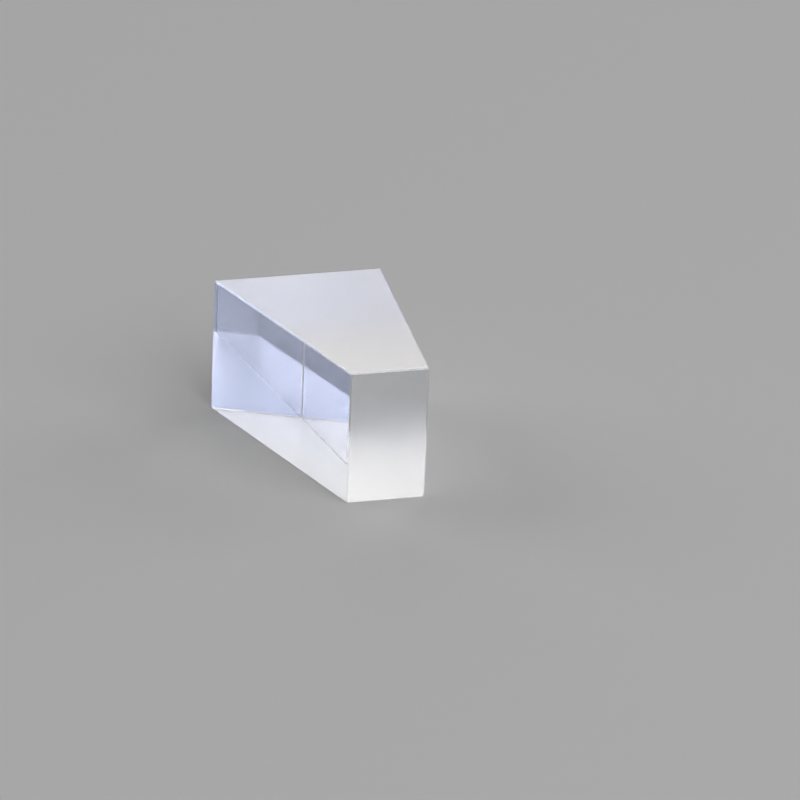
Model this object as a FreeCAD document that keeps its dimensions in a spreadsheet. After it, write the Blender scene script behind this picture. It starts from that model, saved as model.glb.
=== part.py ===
"""A truncated wedge prism: one small block of optical glass, ground and polished all round.

The block stands on a ground side, and its section is the same at every height. Seen from above,
the section is a trapezoid with two square corners. Its corners are called A, B, C and D:
A to B is the long face, polished, at the back.
B to C is the square face, polished, at the right. It is square to the long face.
C to D is the short face, fine ground, at the front. It is parallel to the long face, where the
thin end of the wedge was cut off.
D to A is the slanted face, polished, at the left. It meets the long face at the acute angle.
The bottom and the top are fine ground, and they are the sides that the prism is held by.
Every edge has a narrow ground bevel, because a sharp edge of glass chips. Three bevels end in a
small flat at each corner, and one bottom corner was touched once more on the wheel.

Lengths are in millimetres and angles in degrees. +Z is up, +Y points out of the long face, +X
points out of the square face, and the origin is the middle of the bottom.
"""

import FreeCAD, Part
import math
import os

import Sketcher

SIZES = {
    "long_face": 15.0,  # A to B, along X
    "square_face": 19.0,  # B to C, along Y
    "prism_height": 12.7,  # from the ground bottom to the ground top
    "acute_angle": 67.0,  # at A, between the long face and the slanted face
    "edge_bevel": 0.1,  # leg of the bevel on each edge
    "touch_rise": 0.6,  # how far up its edge the touched corner at C reaches
    "touch_depth": 0.2,  # how far in under the prism it reaches
}
SQUARE_CORNER_HALF = 45.0  # half the right angle at C, between its two faces
START = 1  # a sketch line's first end, as constraints count them
END = 2  # its second end
ORIGIN = (-1, START)  # the sketch's own origin, which starts its horizontal axis
UPRIGHT = FreeCAD.Vector(0, 1, 0)  # what the touched corner's sketch turns about, in its plane's axes


def make_sheet(doc):
    """The spreadsheet that drives the prism: a name and a plain number on each row."""
    sheet = doc.addObject("Spreadsheet::Sheet", "sizes")
    for row, (name, value) in enumerate(SIZES.items(), start=1):
        sheet.set(f"A{row}", name)
        sheet.set(f"B{row}", str(value))
        sheet.setAlias(f"B{row}", name)
    doc.recompute()
    return sheet


def origin_plane(body, role):
    """One of the body's own three planes, by its role."""
    return next(item for item in body.Origin.OriginFeatures if item.Role == role)


def new_sketch(body, name, role):
    """An empty sketch in the body, laid flat on one of its own planes."""
    sketch = body.newObject("Sketcher::SketchObject", name)
    sketch.AttachmentSupport = (origin_plane(body, role), [""])
    sketch.MapMode = "FlatFace"
    return sketch


def draw_loop(sketch, points):
    """Straight lines through the points and back to the first, joined end to start."""
    ends = points[1:] + points[:1]
    lines = sketch.addGeometry([Part.LineSegment(a, b) for a, b in zip(points, ends)], False)
    for line, after in zip(lines, lines[1:] + lines[:1]):
        sketch.addConstraint(Sketcher.Constraint("Coincident", line, END, after, START))
    return lines


def bind(sketch, name, rule, *constraint):
    """Adds a constraint with a name, whose value follows a rule on the sheet's cells."""
    number = sketch.addConstraint(Sketcher.Constraint(*constraint))
    sketch.renameConstraint(number, name)
    sketch.setExpression(f"Constraints.{name}", rule)


def draw_section(body, sheet):
    """The trapezoid A, B, C, D on the ground plane, centred on the origin."""
    angle = math.radians(sheet.acute_angle)
    half_x = sheet.long_face / 2
    half_y = sheet.square_face / 2
    short_face = sheet.long_face - sheet.square_face / math.tan(angle)
    corners = [
        FreeCAD.Vector(-half_x, half_y),
        FreeCAD.Vector(half_x, half_y),
        FreeCAD.Vector(half_x, -half_y),
        FreeCAD.Vector(half_x - short_face, -half_y),
    ]
    section = new_sketch(body, "section", "XY_Plane")
    long_line, square_line, short_line, slanted_line = draw_loop(section, corners)
    section.addConstraint(Sketcher.Constraint("Horizontal", long_line))
    section.addConstraint(Sketcher.Constraint("Vertical", square_line))
    section.addConstraint(Sketcher.Constraint("Horizontal", short_line))
    bind(section, "long_face", "sizes.long_face", "Distance", long_line, sheet.long_face)
    bind(section, "square_face", "sizes.square_face", "Distance", square_line, sheet.square_face)
    bind(section, "half_width", "sizes.long_face / 2", "DistanceX", *ORIGIN, long_line, END, half_x)
    bind(section, "half_depth", "sizes.square_face / 2", "DistanceY", *ORIGIN, long_line, END, half_y)
    bind(
        section, "acute_angle", "sizes.acute_angle * 1 deg",
        "Angle", slanted_line, END, long_line, START, angle,
    )
    return section


def raise_block(body, section):
    """The sharp-edged block: the section pulled up to the prism's height."""
    block = body.newObject("PartDesign::Pad", "block")
    block.Profile = section
    block.setExpression("Length", "sizes.prism_height")
    return block


def bevel_edges(body, block):
    """The narrow bevel on all twelve edges. Where three of them meet, a small flat is left."""
    bevels = body.newObject("PartDesign::Chamfer", "bevels")
    bevels.Base = (block, [f"Edge{n}" for n in range(1, len(block.Shape.Edges) + 1)])
    bevels.setExpression("Size", "sizes.edge_bevel")
    return bevels


def touch_corner(body, sheet):
    """The flat across the bottom corner at C, steeper than the others.

    Its sketch stands upright in the plane that halves the corner. There the sharp corner would be
    the sketch's origin, with the prism to the left, and the flat is the long side of a triangle.
    """
    sketch = new_sketch(body, "touch_triangle", "XZ_Plane")
    sketch.AttachmentOffset = FreeCAD.Placement(
        FreeCAD.Vector(), FreeCAD.Rotation(UPRIGHT, -SQUARE_CORNER_HALF)
    )
    sketch.setExpression("AttachmentOffset.Base.x", "sizes.long_face / 2")
    sketch.setExpression("AttachmentOffset.Base.z", "sizes.square_face / 2")
    corners = [
        FreeCAD.Vector(0, 0),
        FreeCAD.Vector(0, sheet.touch_rise),
        FreeCAD.Vector(-sheet.touch_depth, 0),
    ]
    rise, _, depth = draw_loop(sketch, corners)
    sketch.addConstraint(Sketcher.Constraint("Coincident", rise, START, *ORIGIN))
    sketch.addConstraint(Sketcher.Constraint("Vertical", rise))
    sketch.addConstraint(Sketcher.Constraint("Horizontal", depth))
    bind(sketch, "touch_rise", "sizes.touch_rise", "Distance", rise, sheet.touch_rise)
    bind(sketch, "touch_depth", "sizes.touch_depth", "Distance", depth, sheet.touch_depth)
    touch = body.newObject("PartDesign::Pocket", "corner_touch")
    touch.Profile = sketch
    touch.Type = "ThroughAll"
    touch.Midplane = True
    return touch


def make_prism(doc, sheet):
    """The whole prism as one body, built in the order in which the shop makes it."""
    body = doc.addObject("PartDesign::Body", "prism")
    body.Label = "prism"
    section = draw_section(body, sheet)
    block = raise_block(body, section)
    doc.recompute()
    bevels = bevel_edges(body, block)
    doc.recompute()
    touch = touch_corner(body, sheet)
    doc.recompute()
    steps = [block.Shape.Volume, bevels.Shape.Volume, touch.Shape.Volume]
    if not steps[0] > steps[1] > steps[2] > 0:
        raise RuntimeError(f"a bevel or the corner flat took no glass away: {steps}")
    print("volume after the block, the bevels and the corner flat, mm3:", [round(v, 3) for v in steps])
    return body


def check(doc, bodies):
    """Stops before anything is written if an object failed or a body has no sound solid."""
    for item in doc.Objects:
        if {"Invalid", "Error"} & set(item.State):
            raise RuntimeError(f"{item.Name} failed: {item.State}")
        if item.isDerivedFrom("Sketcher::SketchObject") and not item.FullyConstrained:
            raise RuntimeError(f"the sketch {item.Name} isn't fully constrained")
    for body in bodies:
        if body.Shape.isNull() or not body.Shape.isValid() or len(body.Shape.Solids) != 1:
            raise RuntimeError(f"{body.Label} isn't one valid solid")


def main():
    doc = FreeCAD.newDocument("truncated_wedge_prism")
    bodies = [make_prism(doc, make_sheet(doc))]
    check(doc, bodies)
    os.makedirs("parts", exist_ok=True)
    for body in bodies:
        body.Shape.exportStep(f"parts/{body.Label}.step")
        box = body.Shape.BoundBox
        print(body.Label, "faces", len(body.Shape.Faces), "box", box)


main()
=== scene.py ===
# %% [markdown]
# # A truncated wedge prism
#
# The real object is one small block of optical glass, standing on one of its sides. Its long face,
# its square face and its slanted face are polished, because light goes through them. The other
# three sides are fine ground, because they are only held. Every edge has a narrow ground bevel.
#
# The frame already has the true form, down to the bevels. So this lesson is about finish: what
# makes polished and ground glass look like themselves, and how light finds its way through them.

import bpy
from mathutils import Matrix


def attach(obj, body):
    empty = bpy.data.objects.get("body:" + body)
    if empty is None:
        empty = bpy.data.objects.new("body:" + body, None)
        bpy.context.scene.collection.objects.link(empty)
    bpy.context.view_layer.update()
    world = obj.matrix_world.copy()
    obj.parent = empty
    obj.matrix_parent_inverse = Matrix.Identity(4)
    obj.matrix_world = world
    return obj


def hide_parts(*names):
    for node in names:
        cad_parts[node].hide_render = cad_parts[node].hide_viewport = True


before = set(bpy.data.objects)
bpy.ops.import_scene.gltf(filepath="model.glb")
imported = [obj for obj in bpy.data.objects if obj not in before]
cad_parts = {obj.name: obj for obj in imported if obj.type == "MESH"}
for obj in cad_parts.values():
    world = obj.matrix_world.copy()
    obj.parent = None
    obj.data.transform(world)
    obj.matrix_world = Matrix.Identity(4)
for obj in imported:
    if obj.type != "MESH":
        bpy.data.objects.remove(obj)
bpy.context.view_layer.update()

# %% The other modules, and the unit
import math

import bpy
from mathutils import Matrix, Vector

MM = 0.001  # Blender works in metres here, and a prism is easier to think of in millimetres
scene = bpy.context.scene
print("Blender", bpy.app.version_string, "and one millimetre is", MM, "of its units")

# %% [markdown]
# ## Camera
#
# The camera comes first, because it says which details can be seen at all. A long lens from about
# 0.73 m away keeps parallel edges nearly parallel, as they are in pictures of small optics. It is
# given by what a photographer would note down: the spot on the table it is aimed at, where it
# stands, how far it looks down, its lens, and how far it is tipped to the side. One function turns
# a direction given by two angles into a vector, and the lamps use it too.

# %% Camera
AIM = Vector((9.4, 8.2, 0.0)) * MM  # on the table, just behind the right side of the prism
CAMERA_AZIMUTH = -14.01  # degrees, from straight in front of the short face to the left
CAMERA_ELEVATION = 28.22  # degrees above the table
CAMERA_DISTANCE = 729.0 * MM
CAMERA_TIP = 2.22  # degrees, turned about its own line of sight
LENS = 369.5  # mm, on a sensor 36 mm wide
NEAREST_SEEN = 10 * MM  # so that a close look from another side isn't cut open


def direction(azimuth, elevation):
    """A unit vector from the prism: 0 is in front of the short face, 90 right, 180 behind."""
    turn, rise = math.radians(azimuth), math.radians(elevation)
    flat = math.cos(rise)
    return Vector((math.sin(turn) * flat, -math.cos(turn) * flat, math.sin(rise)))


away = direction(CAMERA_AZIMUTH, CAMERA_ELEVATION)
tip = Matrix.Rotation(math.radians(CAMERA_TIP), 3, "Z").to_quaternion()
camera = bpy.data.objects.new("camera", bpy.data.cameras.new("camera"))
camera.data.lens = LENS
camera.data.clip_start = NEAREST_SEEN
camera.rotation_mode = "QUATERNION"
camera.rotation_quaternion = away.to_track_quat("Z", "Y") @ tip
camera.location = AIM + away * CAMERA_DISTANCE
scene.collection.objects.link(camera)
scene.camera = camera
print("camera at, mm:", [round(v / MM, 1) for v in camera.location])

# %% [markdown]
# ## Helpers for node trees
#
# Materials and Geometry Nodes are both trees of nodes. One helper adds a node and sets its
# properties and its inputs in one line, and another starts a material from its Principled shader.

# %% Two helpers
def add(tree, kind, values=None, **settings):
    """A new node of this kind, with its settings made and its input sockets filled by name."""
    made = tree.nodes.new(kind)
    for name, value in settings.items():
        setattr(made, name, value)
    for name, value in (values or {}).items():
        made.inputs[name].default_value = value
    return made


def new_material(name):
    """A material whose Principled shader is ready to be filled in."""
    material = bpy.data.materials.new(name)
    material.use_nodes = True
    return material, material.node_tree, material.node_tree.nodes["Principled BSDF"]


# %% [markdown]
# ## Polished glass
#
# The slanted face and the square face are polished. Polished optical glass has nothing to show on
# its surface: no colour, no grain, no waviness. All that is seen is what it bends and mirrors. So
# this is plain crown glass with no roughness at all, and its one number that matters is the index
# of refraction. It decides where the hidden edges at the back appear through the slanted face.

# %% Polished glass
GLASS_INDEX = 1.517  # crown glass

polished, _, shader = new_material("polished_glass")
shader.inputs["Base Color"].default_value = (1.0, 1.0, 1.0, 1.0)
shader.inputs["Roughness"].default_value = 0.0
shader.inputs["IOR"].default_value = GLASS_INDEX
shader.inputs["Transmission Weight"].default_value = 1.0
print("polished glass: index", GLASS_INDEX)

# %% [markdown]
# ## The long face, a mirror from inside
#
# Seen through the slanted face, the long face at the back is a mirror. The view meets it from
# inside at 41.3 degrees, and this glass turns all light back from 41.2 degrees on. What the mirror
# shows is lavender in the photograph. The likely reason is that the colours part so close to the
# limit, where blue is turned back a little more fully than red. A thin coating could look the same.
#
# Blender's glass has one index for all colours, so it can't do this by itself. Here the face is
# built from its two halves. A Fresnel node says how much is mirrored, a glossy shader in pale
# lavender is the mirror, and a clear refraction shader is the rest. The tint was set from spot
# colours. From outside the mirror's share is only a few percent, so there the face stays as
# clear as the others.

# %% Long face glass
MIRROR_TINT = (0.68, 0.75, 1.0, 1.0)
MIRROR_INDEX = 1.54  # a little above the glass, so that the whole view is past the limit

long_face, tree, shader = new_material("long_face_glass")
tree.nodes.remove(shader)
share = add(tree, "ShaderNodeFresnel", {"IOR": MIRROR_INDEX})
clear = add(tree, "ShaderNodeBsdfRefraction", {"Roughness": 0.0, "IOR": GLASS_INDEX})
mirror = add(tree, "ShaderNodeBsdfAnisotropic", {"Roughness": 0.0, "Color": MIRROR_TINT})
both = add(tree, "ShaderNodeMixShader")
tree.links.new(share.outputs["Fac"], both.inputs["Fac"])
tree.links.new(clear.outputs["BSDF"], both.inputs[1])
tree.links.new(mirror.outputs["BSDF"], both.inputs[2])
tree.links.new(both.outputs["Shader"], tree.nodes["Material Output"].inputs["Surface"])
limit = math.degrees(math.asin(1 / MIRROR_INDEX))
print("the long face mirrors everything from", round(limit, 1), "degrees on")

# %% [markdown]
# ## The grind
#
# Ground glass is made with loose grit on a flat iron plate. The grit leaves a skin of tiny pits,
# finer than the eye can part, so a ground side looks even and silky. Two things keep it from
# looking painted. The pits give it a fine grain close up, and the pressure of the hand leaves
# patches, a few millimetres wide, that are a trace smoother than the rest.
#
# The sides and the bevels are ground in the same way, so both effects are made once, as a shader
# group. Its inputs are the sizes a maker would name. It puts out a roughness that drifts in
# patches and a normal that trembles with the grain.

# %% Grind group
grind = bpy.data.node_groups.new("grind", "ShaderNodeTree")
for name, kind, value in (
    ("Roughness", "NodeSocketFloat", 0.5),
    ("Patch Change", "NodeSocketFloat", 0.05),
    ("Patch Size", "NodeSocketFloat", 3.0 * MM),
    ("Grain Size", "NodeSocketFloat", 0.06 * MM),
    ("Grain Depth", "NodeSocketFloat", 0.004 * MM),
):
    grind.interface.new_socket(name=name, in_out="INPUT", socket_type=kind).default_value = value
grind.interface.new_socket(name="Roughness", in_out="OUTPUT", socket_type="NodeSocketFloat")
grind.interface.new_socket(name="Normal", in_out="OUTPUT", socket_type="NodeSocketVector")

inputs = add(grind, "NodeGroupInput").outputs
outputs = add(grind, "NodeGroupOutput").inputs
place = add(grind, "ShaderNodeTexCoord").outputs["Object"]


def one_over(socket):
    """A size in metres, turned into the scale that a noise texture asks for."""
    divide = add(grind, "ShaderNodeMath", operation="DIVIDE")
    divide.inputs[0].default_value = 1.0
    grind.links.new(socket, divide.inputs[1])
    return divide.outputs[0]


def noise_of(size_socket, detail):
    """A noise that runs through the block in three dimensions, at the size given."""
    pattern = add(grind, "ShaderNodeTexNoise", {"Detail": detail, "Roughness": 0.5})
    grind.links.new(place, pattern.inputs["Vector"])
    grind.links.new(one_over(size_socket), pattern.inputs["Scale"])
    return pattern.outputs["Fac"]


NOISE_MIDDLE = 0.5  # a noise swings about this, and taking it away makes it swing about nothing
PATCH_DETAIL = 3.0
GRAIN_DETAIL = 2.0
patches = add(grind, "ShaderNodeMath", operation="SUBTRACT")
patches.inputs[1].default_value = NOISE_MIDDLE
drift = add(grind, "ShaderNodeMath", operation="MULTIPLY_ADD")
pits = add(grind, "ShaderNodeBump", {"Strength": 1.0})
grind.links.new(noise_of(inputs["Patch Size"], PATCH_DETAIL), patches.inputs[0])
grind.links.new(patches.outputs[0], drift.inputs[0])
grind.links.new(inputs["Patch Change"], drift.inputs[1])
grind.links.new(inputs["Roughness"], drift.inputs[2])
grind.links.new(noise_of(inputs["Grain Size"], GRAIN_DETAIL), pits.inputs["Height"])
grind.links.new(inputs["Grain Depth"], pits.inputs["Distance"])
grind.links.new(drift.outputs[0], outputs["Roughness"])
grind.links.new(pits.outputs["Normal"], outputs["Normal"])
print("grind group:", len(grind.nodes), "nodes")

# %% [markdown]
# ## Ground glass
#
# The top, the bottom and the short face are ground. Most of the light still goes through such a
# side, but it is spread so widely that nothing can be made out behind it. A share of it is turned
# round among the pits and comes back as plain white. So the finish is rough glass with some white
# in it: Transmission Weight sets how much goes through, and the rest is white.
#
# Each side is ground on its own, so the three may differ, and here each has the values that brought
# it nearest to the photograph. The white of the top is a trace warm, which makes up for the
# lavender light that reaches it from the long face. The bottom sends back the most, and it is what
# shines white through the slanted face. The short face sends nothing back and loses a tenth of what
# it lets through, so its light and dark are those of what lies behind it: the white bottom below
# and the grey of the room above.

# %% Ground glass
def ground_finish(name, through, colour, **grind_values):
    """Rough glass with some white in it, and the marks of the grind on it."""
    material, tree, shader = new_material(name)
    shader.inputs["Base Color"].default_value = (*colour, 1.0)
    shader.inputs["IOR"].default_value = GLASS_INDEX
    shader.inputs["Transmission Weight"].default_value = through
    marks = add(tree, "ShaderNodeGroup", node_tree=grind)
    for socket, value in grind_values.items():
        marks.inputs[socket.replace("_", " ").title()].default_value = value
    tree.links.new(marks.outputs["Roughness"], shader.inputs["Roughness"])
    tree.links.new(marks.outputs["Normal"], shader.inputs["Normal"])
    print(f"{name}: {through} goes through, roughness {grind_values['roughness']}")
    return material


SIDE_GRIND = {
    "patch_change": 0.08, "patch_size": 4 * MM,
    "grain_size": 0.06 * MM, "grain_depth": 0.002 * MM,
}
WARM_WHITE = (1.0, 0.975, 0.94)
WHITE = (1.0, 1.0, 1.0)
SOFT_WHITE = (0.9, 0.9, 0.9)
ground_top = ground_finish("ground_top", 0.72, WARM_WHITE, roughness=0.6, **SIDE_GRIND)
ground_bottom = ground_finish("ground_bottom", 0.5, WHITE, roughness=0.4, **SIDE_GRIND)
ground_short_face = ground_finish("ground_short_face", 1.0, SOFT_WHITE, roughness=0.56, **SIDE_GRIND)

# %% [markdown]
# ## Ground bevels
#
# A sharp edge of glass chips at a touch, so each is taken off by hand on a fine wheel, in one or
# two strokes. That leaves the bevels smoother than the sides. They catch the light as thin bright
# lines where they face a lamp, and show as thin grey lines where they are seen through the glass.
# Hand work is less even, so their patches are short.

# %% Ground bevels
DULL_WHITE = (0.82, 0.82, 0.82)
bevel = ground_finish(
    "ground_bevel", 1.0, DULL_WHITE, roughness=0.25,
    patch_change=0.04, patch_size=0.8 * MM, grain_size=0.04 * MM, grain_depth=0.001 * MM,
)

# %% [markdown]
# ## Which face gets which finish
#
# The shop follows a simple rule, and so can the model. The face that looks up is the top, the one
# that looks down is the bottom, the one at the front is the short face, the one at the back is the
# long face, and those at the left and the right are polished. A bevel looks halfway between two of
# them, and a corner flat between three, so they are none of these. Picking faces by hand would
# break as soon as a size changed, and an area tells little, because a broad face can be cut into
# thin triangles. So a Geometry Nodes tree follows the rule instead: everything is a bevel at first,
# and then each face that looks squarely along an axis gets its own finish. The same tree first
# merges the doubled points that a mesh from CAD has along its edges, and makes every face flat,
# because a prism has no soft edges.

# %% Tree that sorts the finishes
sorter = bpy.data.node_groups.new("sort_finishes", "GeometryNodeTree")
sorter.interface.new_socket(name="Block", in_out="INPUT", socket_type="NodeSocketGeometry")
SORTER_INPUTS = {
    "Merge Distance": 0.001 * MM,
    "Squareness": 0.88,  # the slanted face looks left by 0.92, and no bevel does so by over 0.84
}
for name in SORTER_INPUTS:
    sorter.interface.new_socket(name=name, in_out="INPUT", socket_type="NodeSocketFloat")
sorter.interface.new_socket(name="Block", in_out="OUTPUT", socket_type="NodeSocketGeometry")

inputs = add(sorter, "NodeGroupInput").outputs
looks = add(sorter, "ShaderNodeSeparateXYZ")
sorter.links.new(add(sorter, "GeometryNodeInputNormal").outputs["Normal"], looks.inputs[0])


def faces_looking(axis, side):
    """A selection: the faces that look squarely along an axis, on its side 1 or -1."""
    turned = add(sorter, "ShaderNodeMath", operation="MULTIPLY")
    turned.inputs[1].default_value = side
    compare = add(sorter, "ShaderNodeMath", operation="GREATER_THAN")
    sorter.links.new(looks.outputs[axis], turned.inputs[0])
    sorter.links.new(turned.outputs[0], compare.inputs[0])
    sorter.links.new(inputs["Squareness"], compare.inputs[1])
    return compare.outputs[0]


rules = (
    (bevel, None),
    (polished, faces_looking("X", 1)),
    (polished, faces_looking("X", -1)),
    (ground_top, faces_looking("Z", 1)),
    (ground_bottom, faces_looking("Z", -1)),
    (ground_short_face, faces_looking("Y", -1)),
    (long_face, faces_looking("Y", 1)),
)
merge = add(sorter, "GeometryNodeMergeByDistance")
flat = add(sorter, "GeometryNodeSetShadeSmooth", {"Shade Smooth": False})
whole = add(sorter, "GeometryNodeRealizeInstances")
sorter.links.new(inputs["Block"], merge.inputs["Geometry"])
sorter.links.new(inputs["Merge Distance"], merge.inputs["Distance"])
sorter.links.new(merge.outputs["Geometry"], flat.inputs["Geometry"])
sorter.links.new(flat.outputs["Geometry"], whole.inputs["Geometry"])
sorted_so_far = whole.outputs["Geometry"]
for finish, where in rules:
    paint = add(sorter, "GeometryNodeSetMaterial", {"Material": finish})
    sorter.links.new(sorted_so_far, paint.inputs["Geometry"])
    if where is not None:
        sorter.links.new(where, paint.inputs["Selection"])
    sorted_so_far = paint.outputs["Geometry"]
sorter.links.new(sorted_so_far, add(sorter, "NodeGroupOutput").inputs["Block"])
print("sorting tree:", len(sorter.nodes), "nodes")

# %% [markdown]
# ## The glass block
#
# The block is the imported part's own mesh, copied, so that its shape is exactly the one that was
# built. The tree runs on it as a modifier. Its result is then made a plain mesh. The
# normals that the imported mesh had stored are taken off it, because a face's own direction is right
# for a block with flat faces. Then the block takes the imported part's place.

# %% Glass block
block = bpy.data.objects.new("glass_block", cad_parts["prism"].data.copy())
block.data.materials.clear()
scene.collection.objects.link(block)
modifier = block.modifiers.new("finishes", "NODES")
modifier.node_group = sorter
for item in sorter.interface.items_tree:
    if item.name in SORTER_INPUTS:
        modifier[item.identifier] = SORTER_INPUTS[item.name]

graph = bpy.context.evaluated_depsgraph_get()
finished = bpy.data.meshes.new_from_object(block.evaluated_get(graph), depsgraph=graph)
block.modifiers.remove(modifier)
block.data = finished
for name in [a.name for a in finished.attributes if "normal" in a.name]:
    finished.attributes.remove(finished.attributes[name])

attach(block, "root")
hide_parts("prism")
for index, finish in enumerate(finished.materials):
    faces = [face for face in finished.polygons if face.material_index == index]
    total = sum(face.area for face in faces) / MM / MM
    print(f"{finish.name}: {len(faces)} triangles, {total:.1f} mm2")

# %% [markdown]
# ## Floor
#
# Glass shows what stands around it, so the floor is part of how the prism looks. It is plain, pale
# and dull: a glossy one would mirror the lamps and the prism. It lies a hair below zero, because
# the bottom of the glass is at zero, and two surfaces in the same place flicker.

# %% Floor
FLOOR_GREY = 0.38
FLOOR_HALF = 3.0  # m from the middle to an edge, so that no edge shows in the glass
FLOOR_DROP = 0.01 * MM

corners = [(x * FLOOR_HALF, y * FLOOR_HALF, 0.0) for x, y in ((-1, -1), (1, -1), (1, 1), (-1, 1))]
floor = bpy.data.objects.new("floor", bpy.data.meshes.new("floor"))
floor.data.from_pydata(corners, [], [(0, 1, 2, 3)])
floor.location.z = -FLOOR_DROP
paper, _, shader = new_material("floor")
shader.inputs["Base Color"].default_value = (FLOOR_GREY, FLOOR_GREY, FLOOR_GREY, 1.0)
shader.inputs["Roughness"].default_value = 0.9
shader.inputs["Specular IOR Level"].default_value = 0.1
floor.data.materials.append(paper)
scene.collection.objects.link(floor)
print("floor:", 2 * FLOOR_HALF, "m wide, grey", FLOOR_GREY)

# %% [markdown]
# ## World
#
# The world does two jobs. It fills the shadows a little, and it is the pale room that is seen
# above the floor. For the second job it has to be brighter than for the first, so Light Path tells
# the two apart: rays from the camera, and rays that glass has mirrored or let through, see the
# room, and all others only the weak fill. So the glass shows the same room as the background.

# %% World
WORLD_FILL = 0.05
WORLD_SEEN = 0.65  # 1 would be white

world = bpy.data.worlds.new("world")
world.use_nodes = True
tree = world.node_tree
background = tree.nodes["Background"]
background.inputs["Color"].default_value = (1.0, 1.0, 1.0, 1.0)
path = add(tree, "ShaderNodeLightPath")
seen = path.outputs["Is Camera Ray"]
for ray in ("Is Glossy Ray", "Is Transmission Ray"):
    either = add(tree, "ShaderNodeMath", operation="MAXIMUM")
    tree.links.new(seen, either.inputs[0])
    tree.links.new(path.outputs[ray], either.inputs[1])
    seen = either.outputs[0]
strength = add(tree, "ShaderNodeMapRange", {"To Min": WORLD_FILL, "To Max": WORLD_SEEN})
tree.links.new(seen, strength.inputs["Value"])
tree.links.new(strength.outputs["Result"], background.inputs["Strength"])
scene.world = world
print("world: fill", WORLD_FILL, "seen", WORLD_SEEN)

# %% [markdown]
# ## Lamps
#
# Four soft boxes stand around the prism, and none of them is strong, because glass and ground
# sides throw light on in one direction, and a strong lamp would burn out the top for somebody who
# stands across from it. The large one, high at the front, lights the short face and the floor.
# The two at the right and behind go in through the polished faces, light up the bottom from
# inside, and make the short face glow from below. The one at the left stands just where the bevel
# between the top and the slanted face mirrors it into the camera, so that this edge shines.

# %% Lamps
LAMP_DISTANCE = 1.0  # m, far against the size of the prism, so that the light is even


def soft_box(name, size, azimuth, elevation, watts):
    """A square lamp that faces the middle of the table."""
    lamp = bpy.data.lights.new(name, "AREA")
    lamp.shape = "SQUARE"
    lamp.size = size
    lamp.energy = watts
    out = direction(azimuth, elevation)
    holder = bpy.data.objects.new(name, lamp)
    holder.location = out * LAMP_DISTANCE
    holder.rotation_euler = out.to_track_quat("Z", "Y").to_euler()
    scene.collection.objects.link(holder)
    print(name, "at, m:", [round(v, 2) for v in holder.location])


soft_box("front_box", 1.0, 30.0, 50.0, 9.9)
soft_box("back_box", 0.7, 180.0, 28.0, 2.0)
soft_box("right_box", 0.6, 100.0, 28.0, 3.0)
soft_box("left_box", 0.6, -120.0, 34.0, 3.1)

# %% [markdown]
# ## Last settings
#
# Light is turned round many times inside the block, and each time counts as a bounce. With too
# few, the glass shows black patches where a path was cut short. The denoiser gets the colours as
# its guide, but not the normals: those are broken up by the grain of the ground sides, and it
# would keep the noise there as if it were grain too. Standard view keeps every colour as it was
# set.

# %% Bounces, denoiser and view
scene.cycles.max_bounces = 24
scene.cycles.glossy_bounces = 16
scene.cycles.transmission_bounces = 16
scene.cycles.denoising_input_passes = "RGB_ALBEDO"
scene.view_settings.view_transform = "Standard"
